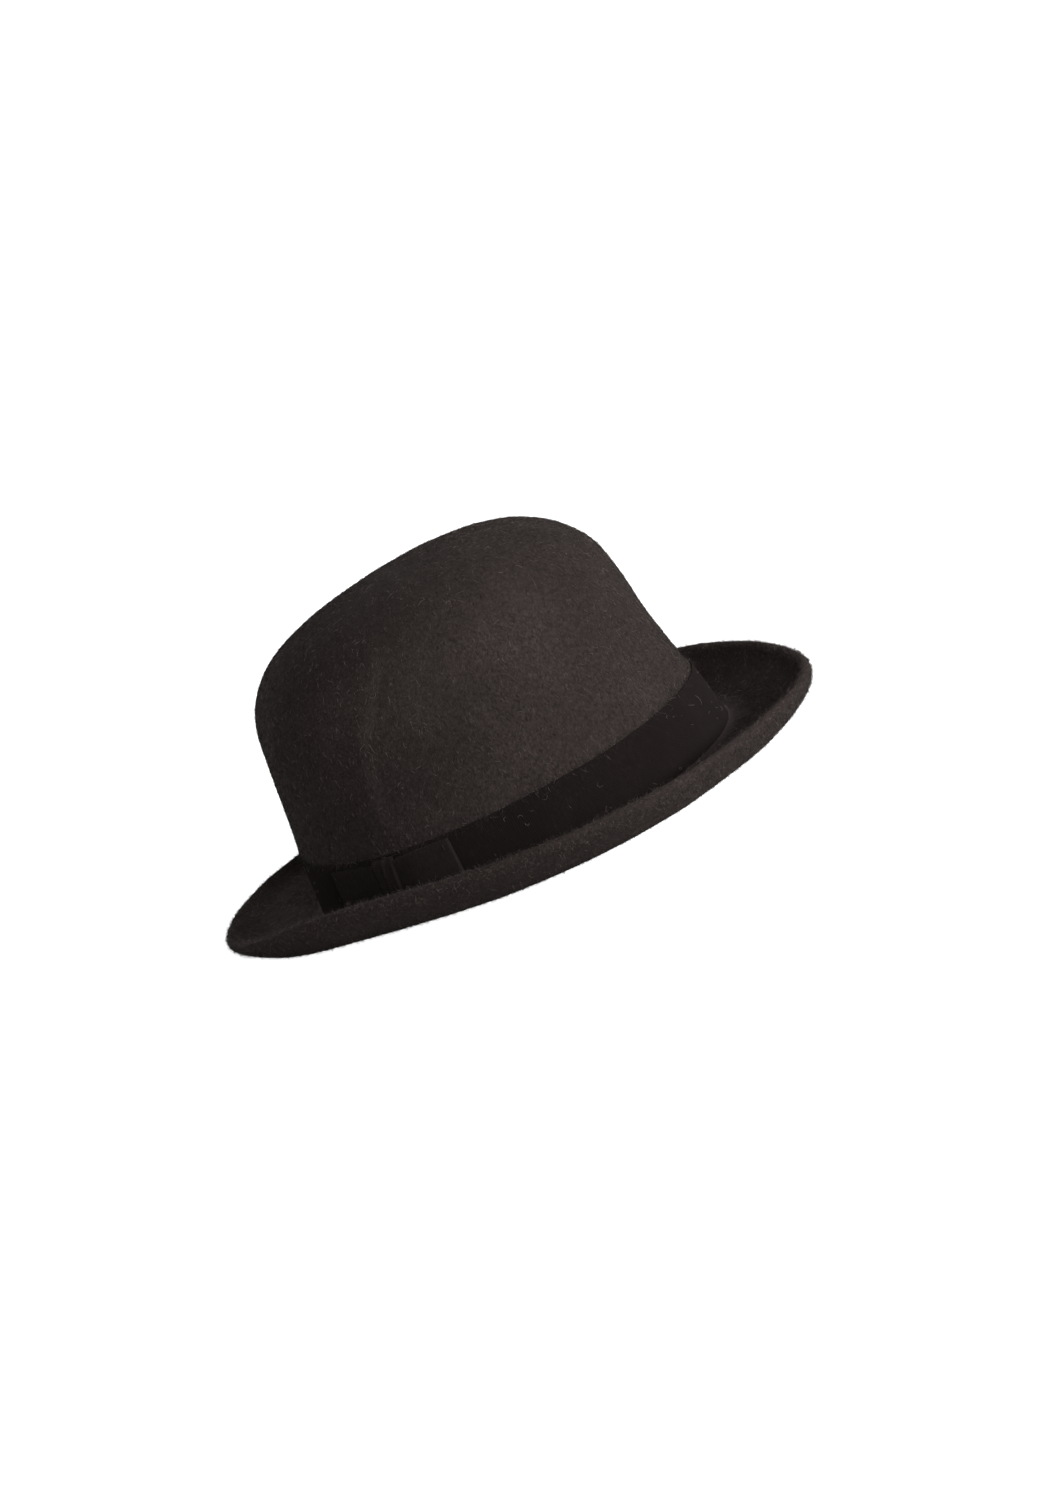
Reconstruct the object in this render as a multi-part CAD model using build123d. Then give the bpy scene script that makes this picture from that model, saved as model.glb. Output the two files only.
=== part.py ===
from build123d import *
import math
import os

# A bowler hat: one felt body blocked into crown and brim, with its ribbon trim outside and its
# sweatband and lining inside. Lengths are millimetres and angles degrees.
# +Z is up, -Y is the front of the hat, +X is the wearer's left, and the hat rests on its brim at z = 0.
# Angles round the hat start at the front: 0 is the front, 90 the wearer's left, 180 the back.
# A layer's inset is its distance inward from the crown's outer face. Trim outside has a negative one.

# Felt body
felt = 2.6
half_length = 103.0
half_width = 87.0
crown_height = 120.0
crown_taper = 0.097
crown_waist = 0.018
dome_power = 4.6
shoulder_power = 3.26
dome_tilt = 0.066
dome_shift = -0.015
profile_steps = 14
skirt = 12.0
brim_width = {"side": 34.0, "front": 50.0, "back": 49.7}
brim_droop = {"side": 8.0, "front": -2.0, "back": 2.3}
brim_curl = {"side": 95.0, "front": 37.0, "back": 72.0}
curl_radius = 16.8
brim_stations = 17

# Ribbon trim outside
gap = 0.12
ribbon = 0.8
band_height = 25.6
band_lift = 0.4
band_joint = 1.0
bow_angle = 88.0
bow_length = 72.0
bow_lift = 1.3
bow_drop = 1.6
bow_hollow = 0.8
bow_fold = 1.2
knot_width = 13.0
tack_radius = 0.3
tack_length = 3.0
tack_edge = 2.5
band_tack_angles = (20.0, 135.0, 180.0, 225.0, 270.0, 340.0)

# Sweatband inside
leather = 1.1
sweatband_inset = felt + 0.9
sweatband_height = 38.0
sweatband_lift = 0.2
reed_radius = 0.8
reed_inset = 4.6
reed_rise = -1.2
cord_joint = 0.6
oval_share = 0.3
tape = 0.35
tape_heights = (-2.0, 5.0)
stitch_radius = 0.25
stitch_length = 3.2
stitch_count = 88
stitch_rise = 2.2
back_stitch_count = 6
back_stitch_length = 4.5
back_stitch_slant = 35.0
back_stitch_pitch = 4.0
back_stitch_start = 15.0
small_bow_length = 26.0
small_bow_height = 8.0
small_bow_waist = 3.0
small_bow_rise = 7.5
small_bow_thickness = 0.8
label_length = 34.0
label_height = 13.0
label_thickness = 0.25
label_angle = 142.0
label_rise = 20.0

# Lining inside
satin = 0.4
lining_inset = felt + gap
lining_foot = 9.0
seam_height = 84.0
seam_gap = 0.3
cord_radius = 0.8
cord_clearance = 0.5
film = 0.25
film_half_length = 56.0
film_half_width = 42.0

far = 400.0


def around(values, angle):
    """A brim dimension at an angle, blended from its values at the side, the front and the back."""
    side_share = math.sin(math.radians(angle)) ** 2
    end = values["front"] if math.cos(math.radians(angle)) > 0 else values["back"]
    return values["side"] * side_share + end * (1 - side_share)


def brim_shape(angle):
    """Droop and curl in radians, and the length of the brim's straight part, at an angle."""
    droop = math.radians(around(brim_droop, angle))
    curl = math.radians(around(brim_curl, angle))
    return droop, curl, around(brim_width, angle) - curl_radius * curl


def underside_depth(angle):
    """How far the brim's underside comes below the break at an angle."""
    droop, _, straight = brim_shape(angle)
    droop = max(droop, 0)
    return straight * math.sin(droop) + curl_radius * (1 - math.cos(droop)) + felt


def brim_reach(angle):
    """How far the brim stands out from the crown at an angle, to its rounded edge."""
    droop, curl, straight = brim_shape(angle)
    bend = curl_radius * math.sin(droop) + (curl_radius + felt / 2) * math.sin(curl - droop)
    return straight * math.cos(droop) + bend + felt / 2


break_height = max(underside_depth(2.0 * step) for step in range(91))
centre_shift = (brim_reach(0) - brim_reach(180)) / 2


def crown_radius(share):
    """Crown radius at a share of its height, as a share of its radius at the break."""
    dome = (1 - max(share, 0) ** dome_power) ** (1 / shoulder_power)
    return (1 - crown_taper * share - 4 * crown_waist * share * (1 - share)) * dome


def oval_matrix(squeeze):
    """Squeezes round work into the crown's oval, and leans it as the blocked crown leans."""
    shift = [0, 1, dome_shift, -dome_shift * break_height]
    return Matrix([[squeeze, 0, 0, 0], shift, [0, dome_tilt, 1, 0], [0, 0, 0, 1]])


def crown_solid(inset):
    """All that lies inside a layer of the crown, with a skirt that reaches below the break."""
    length = half_length - inset
    height = crown_height - inset
    points = []
    for step in range(profile_steps + 1):
        turn = math.radians(90.0 * step / profile_steps)
        share = min(math.sin(turn) ** (2 / dome_power), 1.0)
        points.append((length * crown_radius(share), 0, break_height + height * share))
    lean = (crown_taper + 4 * crown_waist) * length / height
    foot = (length + lean * skirt, 0, break_height - skirt)
    middle = (0, 0, break_height - skirt)
    side = Spline(*points, tangents=[(-lean, 0, 1), (-1, 0, 0)])
    outline = [Line(foot, points[0]), side, Line(points[-1], middle), Line(middle, foot)]
    turned = revolve(make_face(outline), Axis.Z)
    squeeze = (half_width - inset) / length
    return turned.transform_geometry(oval_matrix(squeeze))


def wall_point(angle, rise, inset):
    """A point on a layer of the crown, at an angle and a height above the break."""
    turn = math.radians(angle)
    y = -(half_length - inset) * math.cos(turn)
    height = rise - dome_tilt * y
    radius = crown_radius(height / (crown_height - inset))
    x = (half_width - inset) * math.sin(turn) * radius
    return Vector(x, y * radius + dome_shift * height, break_height + rise)


def wall_plane(angle, rise, inset):
    """A plane on a layer of the crown: x runs round the hat, y up the wall and z outward."""
    along = wall_point(angle + 1, rise, inset) - wall_point(angle - 1, rise, inset)
    up = wall_point(angle, rise + 1, inset) - wall_point(angle, rise - 1, inset)
    return Plane(wall_point(angle, rise, inset), x_dir=along, z_dir=along.cross(up))


def turn_for(distance, angle):
    """The angle that a distance along the wall takes up, near an angle round the hat."""
    turn = math.radians(angle)
    speed = math.hypot(half_width * math.cos(turn), half_length * math.sin(turn))
    return math.degrees(distance / speed)


def slab(low, high):
    """Everything between two heights above the break."""
    return Pos(0, 0, break_height + (low + high) / 2) * Box(far, far, high - low)


def tilted_slab(low, high):
    """A slab that leans with the dome."""
    lean = Rot(math.degrees(math.atan(dome_tilt)), 0, 0)
    return Pos(0, 0, break_height + (low + high) / 2) * lean * Box(far, far, high - low)


def crown_shell(outer, inner):
    """The layer between two insets, with its skirt."""
    return crown_solid(outer) - crown_solid(inner)


def thread_bar(place, radius, length):
    """A straight stitch that lies along the plane's x direction."""
    return place * Rot(0, 90, 0) * Cylinder(radius, length)


def brim_section(angle):
    """The brim cut square to the crown's oval: straight, then curled up, with a rounded edge."""
    turn = math.radians(angle)
    droop, curl, straight = brim_shape(angle)
    outward = Vector(math.sin(turn) / half_width, -math.cos(turn) / half_length, 0).normalized()
    root = Vector(half_width * math.sin(turn), -half_length * math.cos(turn), break_height)
    place = Plane(root, x_dir=outward, z_dir=outward.cross(Vector(0, 0, 1)))
    run = Vector(math.cos(droop), -math.sin(droop))
    above = Vector(math.sin(droop), math.cos(droop))
    bend_centre = run * straight + above * curl_radius

    def on_bend(radius, share):
        slope = curl * share - droop
        return bend_centre + Vector(math.sin(slope), -math.cos(slope)) * radius

    start = run * (-felt / 2)
    edge_centre = on_bend(curl_radius + felt / 2, 1)
    edge_tip = edge_centre + Vector(math.cos(curl - droop), math.sin(curl - droop)) * (felt / 2)
    under = curl_radius + felt
    outline = [
        Line(start, run * straight),
        ThreePointArc(run * straight, on_bend(curl_radius, 0.5), on_bend(curl_radius, 1)),
        ThreePointArc(on_bend(curl_radius, 1), edge_tip, on_bend(under, 1)),
        ThreePointArc(on_bend(under, 1), on_bend(under, 0.5), on_bend(under, 0)),
        Line(on_bend(under, 0), start - above * felt),
        Line(start - above * felt, start),
    ]
    return place * make_face(outline)


def felt_body():
    """Crown and brim, one piece of felt."""
    wall = crown_shell(0, felt) & slab(gap - felt, far / 2)
    stations = [180.0 * step / (brim_stations - 1) for step in range(brim_stations)]
    left = loft([brim_section(angle) for angle in stations])
    brim = left + mirror(left, about=Plane.YZ)
    return wall + brim


def hatband():
    """Ribbon round the foot of the crown, with its two ends meeting under the bow's knot."""
    ring = crown_shell(-gap - ribbon, -gap) & slab(band_lift, band_lift + band_height)
    joint = wall_plane(bow_angle, band_height / 2, -gap) * Box(band_joint, far / 4, far / 10)
    return ring - joint


bow_inset = -2 * gap - ribbon
bow_depth = 2 * ribbon + bow_hollow
bow_top = band_lift + band_height - bow_drop


def bow_block(length, low, high, inner, outer):
    """A stretch of a layer beside the bow's centre, between two heights and two insets."""
    span = wall_plane(bow_angle, band_height / 2, bow_inset) * Box(length, far / 4, far / 10)
    return crown_shell(outer, inner) & slab(low, high) & span


def bow_loop():
    """Ribbon folded at both ends into a flat closed loop."""
    folded = bow_block(bow_length, bow_lift, bow_top, bow_inset, bow_inset - bow_depth)
    inner = bow_inset - ribbon
    hollow = bow_block(bow_length - 2 * bow_fold, 0, far / 8, inner, inner - bow_hollow)
    return folded - hollow


def bow_knot():
    """Ribbon over the middle of the bow, turned in above and below it."""
    face = bow_inset - bow_depth - gap
    low = bow_lift - gap
    high = bow_top + gap
    wrap = bow_block(knot_width, low - ribbon, high + ribbon, bow_inset, face - ribbon)
    return wrap - bow_block(knot_width + 1, low, high, bow_inset + 1, face)


def band_tacks():
    """Thread tacks along the hatband's upper edge."""
    inset = -gap - ribbon - tack_radius - gap / 2
    rise = band_lift + band_height - tack_edge
    places = [wall_plane(angle, rise, inset) for angle in band_tack_angles]
    return Compound([thread_bar(place, tack_radius, tack_length) for place in places])


def bow_tacks():
    """Two upright thread tacks at each end of the bow."""
    inset = bow_inset - bow_depth - tack_radius - gap / 2
    turn = turn_for(bow_length / 2 - tack_edge, bow_angle)
    bars = []
    for angle in (bow_angle - turn, bow_angle + turn):
        for rise in (bow_lift + 2 * tack_edge, bow_top - 2 * tack_edge):
            place = wall_plane(angle, rise, inset) * Rot(0, 0, 90)
            bars.append(thread_bar(place, tack_radius, tack_length))
    return Compound(bars)


def sweatband():
    """Leather band inside the head opening."""
    shell = crown_shell(sweatband_inset, sweatband_inset + leather)
    return shell & slab(sweatband_lift, sweatband_height)


def oval_cord(half_width, half_length, thickness, place):
    """A round cord bent into an oval of tangent arcs, with its two ends close together at the back."""
    tightest = half_width**2 / half_length
    end_radius = tightest + oval_share * (half_width - tightest)
    spread = half_length**2 + half_width**2 - 2 * half_length * end_radius
    side_radius = spread / (2 * (half_width - end_radius))
    end = half_length - end_radius
    side = side_radius - half_width
    turn = math.degrees(math.atan2(end, side))
    half_joint = math.degrees(cord_joint / 2 / end_radius)
    arcs = [
        CenterArc((0, end), end_radius, 90 + half_joint, 90 - turn - half_joint),
        CenterArc((side, 0), side_radius, 180 - turn, 2 * turn),
        CenterArc((0, -end), end_radius, 180 + turn, 180 - 2 * turn),
        CenterArc((-side, 0), side_radius, -turn, 2 * turn),
        CenterArc((0, end), end_radius, turn, 90 - turn - half_joint),
    ]
    path = place * Wire(arcs)
    return sweep((path ^ 0) * Circle(thickness), path=path)


def sweatband_reed():
    """Round reed that stiffens the sweatband's lower edge."""
    place = Plane((0, 0, break_height + reed_rise))
    return oval_cord(half_width - reed_inset, half_length - reed_inset, reed_radius, place)


def reed_tape():
    """Woven tape between the felt and the sweatband's lower edge."""
    return crown_shell(felt + gap, felt + gap + tape) & slab(*tape_heights)


face_inset = sweatband_inset + leather


def sweatband_stitches():
    """One running row of stitches just above the sweatband's lower edge."""
    inset = face_inset + stitch_radius + gap / 2
    turns = [360.0 * (step + 0.5) / stitch_count for step in range(stitch_count)]
    places = [wall_plane(angle, stitch_rise, inset) for angle in turns]
    return Compound([thread_bar(place, stitch_radius, stitch_length) for place in places])


def sweatband_back_seam():
    """Slanted stitches that close the sweatband at the back."""
    inset = face_inset + stitch_radius + gap / 2
    bars = []
    for step in range(back_stitch_count):
        rise = back_stitch_start + step * back_stitch_pitch
        slant = back_stitch_slant if step % 2 else -back_stitch_slant
        place = wall_plane(180, rise, inset) * Rot(0, 0, slant)
        bars.append(thread_bar(place, stitch_radius, back_stitch_length))
    return Compound(bars)


def sweatband_bow():
    """Small flat ribbon bow over the foot of the back seam."""
    half = small_bow_length / 2
    tall = small_bow_height / 2
    waist = small_bow_waist / 2
    corners = [(-half, -tall), (0, -waist), (half, -tall), (half, tall), (0, waist), (-half, tall)]
    outline = wall_plane(180, small_bow_rise, face_inset) * make_face(Polyline(*corners, close=True))
    cutter = extrude(outline, amount=small_bow_height, both=True)
    return crown_shell(face_inset + gap, face_inset + gap + small_bow_thickness) & cutter


def size_label():
    """Blank label on the sweatband's face."""
    shell = crown_shell(face_inset + gap, face_inset + gap + label_thickness)
    outline = wall_plane(label_angle, label_rise, face_inset) * Box(label_length, label_height, far / 10)
    return shell & outline


def lining_layer():
    """The satin lining's whole layer, before it is cut into its two pieces."""
    return crown_shell(lining_inset, lining_inset + satin)


def lining_wall():
    """Satin wall of the lining, from behind the sweatband up to the seam."""
    return lining_layer() & slab(lining_foot, far / 2) & tilted_slab(-far / 4, seam_height - seam_gap / 2)


def lining_tip():
    """Satin piece of the lining that closes the top."""
    return lining_layer() & tilted_slab(seam_height + seam_gap / 2, far / 2)


def lining_seam_cord():
    """Piping cord along the seam of the lining."""
    inset = lining_inset + satin
    radius = crown_radius(seam_height / (crown_height - inset))
    margin = cord_radius + cord_clearance
    middle = (0, dome_shift * seam_height, break_height + seam_height)
    place = Plane(middle, x_dir=(1, 0, 0), z_dir=(0, -dome_tilt, 1))
    long_half = (half_length - inset) * radius - margin
    return oval_cord((half_width - inset) * radius - margin, long_half, cord_radius, place)


def tip_protector():
    """Clear film over the middle of the lining's tip."""
    inset = lining_inset + satin + gap
    oval = extrude(Ellipse(film_half_width, film_half_length), amount=far)
    return crown_shell(inset, inset + film) & slab(crown_height / 2, far / 2) & oval


parts = {
    "felt_body": felt_body,
    "hatband": hatband,
    "bow_loop": bow_loop,
    "bow_knot": bow_knot,
    "band_tacks": band_tacks,
    "bow_tacks": bow_tacks,
    "sweatband": sweatband,
    "sweatband_reed": sweatband_reed,
    "reed_tape": reed_tape,
    "sweatband_stitches": sweatband_stitches,
    "sweatband_back_seam": sweatband_back_seam,
    "sweatband_bow": sweatband_bow,
    "size_label": size_label,
    "lining_wall": lining_wall,
    "lining_tip": lining_tip,
    "lining_seam_cord": lining_seam_cord,
    "tip_protector": tip_protector,
}

os.makedirs("parts", exist_ok=True)
for name, make in parts.items():
    export_step(Pos(0, centre_shift, 0) * make(), f"parts/{name}.step")
print("break height", round(break_height, 3), "centre shift", round(centre_shift, 3))
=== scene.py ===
import math

import bpy
import numpy as np
from mathutils import Matrix, Vector


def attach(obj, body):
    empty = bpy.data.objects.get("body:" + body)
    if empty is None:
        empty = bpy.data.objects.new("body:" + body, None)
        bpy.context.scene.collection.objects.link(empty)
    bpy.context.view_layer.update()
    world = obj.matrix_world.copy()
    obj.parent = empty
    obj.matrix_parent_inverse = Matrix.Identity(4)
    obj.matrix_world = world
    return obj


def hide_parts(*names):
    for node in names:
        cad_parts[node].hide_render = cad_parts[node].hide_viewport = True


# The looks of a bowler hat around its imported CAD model. Lengths are millimetres here and become metres
# only when a mesh is made. +Z is up, -Y is the front of the hat and +X the wearer's left.
# Angles round the hat are degrees from the front; rise is the height above the brim break; inset is the
# distance inward from the crown's outer face, so trim outside has a negative one.

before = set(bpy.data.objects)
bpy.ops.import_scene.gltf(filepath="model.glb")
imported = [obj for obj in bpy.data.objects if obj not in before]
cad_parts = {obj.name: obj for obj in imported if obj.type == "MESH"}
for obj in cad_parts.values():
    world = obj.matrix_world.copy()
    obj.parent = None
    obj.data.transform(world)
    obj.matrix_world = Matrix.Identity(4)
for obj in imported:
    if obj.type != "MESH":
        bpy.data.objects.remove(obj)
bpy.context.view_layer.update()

# Driving dimensions, as in the CAD model
FELT = 2.6
HALF_LENGTH = 103.0
HALF_WIDTH = 87.0
CROWN_HEIGHT = 120.0
CROWN_TAPER = 0.097
CROWN_WAIST = 0.018
DOME_POWER = 4.6
SHOULDER_POWER = 3.26
DOME_TILT = 0.066
DOME_SHIFT = -0.015
BRIM_WIDTH = (34.0, 50.0, 49.7)
BRIM_DROOP = (8.0, -2.0, 2.3)
BRIM_CURL = (95.0, 37.0, 72.0)
CURL_RADIUS = 16.8
GAP = 0.12
RIBBON = 0.8
BAND_HEIGHT = 25.6
BAND_LIFT = 0.4
BOW_ANGLE = 88.0
BOW_LENGTH = 72.0
BOW_LIFT = 1.3
BOW_DROP = 1.6
KNOT_WIDTH = 13.0
LEATHER = 1.1
SWEATBAND_INSET = FELT + 0.9
SWEATBAND_HEIGHT = 38.0
LINING_INSET = FELT + GAP
LINING_FOOT = 9.0
SEAM_HEIGHT = 84.0
SATIN = 0.4


# ---------------------------------------- the hat's form

def turns(count):
    """Radians of evenly spaced places once round the hat or round a cord."""
    return np.linspace(0, 2 * math.pi, count, endpoint=False)


def unit(vectors):
    return vectors / np.linalg.norm(vectors, axis=-1, keepdims=True)


def around(values, angle):
    """A brim dimension (side, front, back) blended round the hat, at angles in radians."""
    side, front, back = values
    share = np.sin(angle) ** 2
    end = np.where(np.cos(angle) > 0, front, back)
    return side * share + end * (1 - share)


def brim_shape(angle):
    droop = np.radians(around(BRIM_DROOP, angle))
    curl = np.radians(around(BRIM_CURL, angle))
    return droop, curl, around(BRIM_WIDTH, angle) - CURL_RADIUS * curl


def underside_depth(angle):
    droop, _, straight = brim_shape(angle)
    droop = np.maximum(droop, 0)
    return straight * np.sin(droop) + CURL_RADIUS * (1 - np.cos(droop)) + FELT


def brim_reach(angle):
    droop, curl, straight = brim_shape(angle)
    bend = CURL_RADIUS * np.sin(droop) + (CURL_RADIUS + FELT / 2) * np.sin(curl - droop)
    return straight * np.cos(droop) + bend + FELT / 2


BREAK = float(underside_depth(np.radians(np.arange(0, 181, 2.0))).max())
CENTRE = float(brim_reach(0.0) - brim_reach(math.pi)) / 2


def crown_radius(share):
    dome = np.maximum(1 - np.maximum(share, 0) ** DOME_POWER, 0) ** (1 / SHOULDER_POWER)
    return (1 - CROWN_TAPER * share - 4 * CROWN_WAIST * share * (1 - share)) * dome


def crown_point(angle, height, inset):
    """Points on a layer of the crown, at radians round the hat and heights before the crown leans."""
    angle, height, inset = np.broadcast_arrays(angle, height, inset)
    radius = crown_radius(height / (CROWN_HEIGHT - inset))
    x = (HALF_WIDTH - inset) * np.sin(angle) * radius
    y = -(HALF_LENGTH - inset) * np.cos(angle) * radius
    return np.stack([x, y + DOME_SHIFT * height + CENTRE, BREAK + height + DOME_TILT * y], -1)


def wall_height(angle, rise, inset=0.0):
    """The height before leaning of the wall point that ends up at a rise above the break."""
    y = -(HALF_LENGTH - inset) * np.cos(angle)
    return rise - DOME_TILT * y * crown_radius(np.maximum(rise, 0) / CROWN_HEIGHT)


def wall(angle, rise, inset):
    """Points on a layer of the crown's wall, at radians round the hat and rises above the break."""
    angle, rise, inset = np.broadcast_arrays(angle, rise, inset)
    return crown_point(angle, wall_height(angle, rise, inset), inset)


def beside(angle, distance):
    """Radians round the hat, for places at distances along the wall from an angle."""
    return angle + distance / np.hypot(HALF_WIDTH * np.cos(angle), HALF_LENGTH * np.sin(angle))


def bell(value):
    """A smooth bump: 1 at 0, and next to nothing beyond 2 on either side."""
    return np.exp(-(value**2))


def ripple(points, size, seed, waves=14):
    """Smooth seeded noise of about -1 to 1 at points, with bumps of about a given size."""
    source = np.random.default_rng(seed)
    directions = unit(source.normal(size=(waves, 3)))
    steepness = directions * (2 * math.pi / size / source.uniform(0.7, 1.6, (waves, 1)))
    phases = source.uniform(0, 2 * math.pi, waves)
    total = np.zeros(points.shape[:-1])
    for k in range(waves):
        total += np.sin(points @ steepness[k] + phases[k])
    return total / math.sqrt(waves / 2) / 2


def ripples(points, layers):
    """Layers of ripple on top of each other, each with a height, a spacing and a seed."""
    return sum(height * ripple(points, spacing, seed) for height, spacing, seed in layers)


# ---------------------------------------- mesh building

def add(name, data):
    """A new object in the scene."""
    made = bpy.data.objects.new(name, data)
    bpy.context.scene.collection.objects.link(made)
    return made


def new_mesh(name, vertices, corners, sizes, uv=None, smooth=True):
    """A mesh object from vertices, the faces' corners in one row, and each face's corner count."""
    mesh = bpy.data.meshes.new(name)
    mesh.vertices.add(len(vertices))
    mesh.vertices.foreach_set("co", (vertices / 1000).astype(np.float32).ravel())
    mesh.loops.add(len(corners))
    mesh.loops.foreach_set("vertex_index", corners.astype(np.int32))
    mesh.polygons.add(len(sizes))
    mesh.polygons.foreach_set("loop_start", (np.cumsum(sizes) - sizes).astype(np.int32))
    mesh.polygons.foreach_set("loop_total", sizes.astype(np.int32))
    mesh.polygons.foreach_set("use_smooth", np.full(len(sizes), smooth))
    if uv is not None:
        layer = mesh.uv_layers.new(name="cloth")
        layer.data.foreach_set("uv", (uv / 1000).astype(np.float32).ravel())
    mesh.update(calc_edges=True)
    mesh.validate()
    return add(name, mesh)


def steps(loops, axis, closed):
    """Distance covered along one axis of a grid, averaged over the other, starting at 0."""
    after = np.roll(loops, -1, axis)
    gaps = np.linalg.norm(after - loops, axis=2).mean(1 - axis)
    if not closed:
        gaps = gaps[:-1]
    return np.concatenate([[0], np.cumsum(gaps)])


def grid_faces(rows, columns, ring):
    """Corners of a tube's faces, for rows of points that each close on themselves, and their UV steps."""
    j, k = np.meshgrid(np.arange(rows if ring else rows - 1), np.arange(columns), indexing="ij")
    j, k = j.ravel(), k.ravel()
    at = np.stack([j, j, j + 1, j + 1], 1), np.stack([k, k + 1, k + 1, k], 1)
    corners = (at[0] % rows) * columns + at[1] % columns
    return corners, at


def skin(name, loops, ring=False):
    """A closed mesh through loops of points: a ring of loops, or a tube with a fan at each end."""
    rows, columns, _ = loops.shape
    corners, (row_at, column_at) = grid_faces(rows, columns, ring)
    along, across = steps(loops, 0, ring), steps(loops, 1, True)
    uv = np.stack([along[row_at], across[column_at]], -1).reshape(-1, 2)
    vertices, flat = loops.reshape(-1, 3), corners.ravel()
    sizes = np.full(len(corners), 4)
    if not ring:
        ends = [loops[0].mean(0), loops[-1].mean(0)]
        k = np.arange(columns)
        k_next = np.roll(k, -1)
        first = np.stack([np.full(columns, len(vertices)), k_next, k], 1)
        base = (rows - 1) * columns
        last = np.stack([np.full(columns, len(vertices) + 1), base + k, base + k_next], 1)
        vertices = np.concatenate([vertices, ends])
        fans = np.concatenate([first, last]).ravel()
        flat = np.concatenate([flat, fans])
        sizes = np.concatenate([sizes, np.full(2 * columns, 3)])
        along_fans = np.repeat([0, along[-1]], 3 * columns)
        uv = np.concatenate([uv, np.stack([along_fans, across[fans % columns]], 1)])
    return face_outward(new_mesh(name, vertices, flat, sizes, uv))


def face_outward(piece):
    """Turns a closed mesh's faces outward."""
    mesh = piece.data
    points = np.zeros(len(mesh.vertices) * 3)
    mesh.vertices.foreach_get("co", points)
    points = points.reshape(-1, 3)
    mesh.calc_loop_triangles()
    triangles = np.zeros(len(mesh.loop_triangles) * 3, np.int32)
    mesh.loop_triangles.foreach_get("vertices", triangles)
    a, b, c = (points[triangles.reshape(-1, 3)[:, k]] for k in range(3))
    if (a * np.cross(b, c)).sum() < 0:
        mesh.flip_normals()
    return piece


def tubes(name, paths, radius, sides=8, twist=0.0):
    """One mesh of many round threads, each along its own path of points, with tapered, sunk ends."""
    count, length, _ = paths.shape
    forward = unit(np.gradient(paths, axis=1))
    middle = paths[:, length // 2] - paths.mean(1)
    aside = unit(np.cross(forward, middle[:, None] + [1e-3, 2e-3, 3e-3]))
    above = np.cross(aside, forward)
    turn = turns(sides)
    share = np.linspace(-1, 1, length)
    size = radius * np.sqrt(np.maximum(1 - share**8, 0.15))
    strands = 1 + 0.13 * np.cos(2 * turn + twist * share[:, None])
    ring = (size[:, None] * strands)[..., None]
    spread = np.cos(turn)[:, None] * aside[:, :, None]
    spread = spread + np.sin(turn)[:, None] * above[:, :, None]
    loops = paths[:, :, None] + ring * spread
    around_tube, _ = grid_faces(length, sides, False)
    cap = np.arange(sides)
    one = length * sides
    corners = np.concatenate([around_tube.ravel(), cap[::-1], cap + one - sides])
    corners = np.arange(count)[:, None] * one + corners
    sizes = np.tile([4] * len(around_tube) + [sides, sides], count)
    return face_outward(new_mesh(name, loops.reshape(-1, 3), corners.ravel(), sizes))


def dress(piece, material, slot, *nodes):
    """Gives a piece its material, and makes it ride in place of CAD nodes; the slot is not used."""
    piece.data.materials.append(material)
    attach(piece, "root")
    if nodes:
        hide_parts(*nodes)
    return piece


# ---------------------------------------- felt body

EDGE_SWELL = 1.5
EDGE_REACH = 9.0
CREASE_FROM_EDGE = 9.5
CREASE_DEPTH = 0.3
CREASE_WIDTH = 0.8
ROUND = 320
MEAN_RADIUS = 95.0
CROWN_ROWS = 110
BRIM_ROWS = 52
EDGE_ROWS = 9
INNER_ROWS = 60
BREAK_SOFTENING = 7

angles = turns(ROUND)


def even_shares(count):
    """Shares of the crown's height from its foot to near its top, evenly spaced along its outline."""
    share = np.sin(np.linspace(0, math.pi / 2, 800))
    outline = np.stack([MEAN_RADIUS * crown_radius(share), CROWN_HEIGHT * share], 1)
    length = np.concatenate([[0], np.cumsum(np.linalg.norm(np.diff(outline, axis=0), axis=1))])
    return np.interp(np.linspace(0, length[-1] - 0.6, count), length, share)


def crown_rows(count, inset, foot):
    """Rows of points from the top of a crown layer down to a rise, one row per ring."""
    low = wall_height(angles, foot, inset)
    height = CROWN_HEIGHT - inset
    share = even_shares(count)[::-1, None]
    return crown_point(angles, low + (height - low) * share, inset)


def smooth_step(value):
    value = np.clip(value, 0, 1)
    return value * value * (3 - 2 * value)


def brim_rows(runs, under):
    """Rows of points along the brim, at shares of its width, on its top or its underside."""
    droop, _, straight = brim_shape(angles)
    width = around(BRIM_WIDTH, angles)
    run = runs[:, None] * width
    swell = EDGE_SWELL * smooth_step(1 - (width - run) / EDGE_REACH)
    bend = np.maximum(run - straight, 0) / CURL_RADIUS
    slope = bend - droop
    flat = np.minimum(run, straight)
    out = flat * np.cos(droop) + CURL_RADIUS * (np.sin(slope) + np.sin(droop))
    up = -flat * np.sin(droop) + CURL_RADIUS * (np.cos(droop) - np.cos(slope))
    crease = CREASE_DEPTH * bell((width - run - CREASE_FROM_EDGE) / CREASE_WIDTH)
    depth = np.where(under, FELT + 0.75 * swell - crease, -0.25 * swell)
    out = out + depth * np.sin(slope)
    up = up - depth * np.cos(slope)
    return brim_place(out, up, run)


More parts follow.
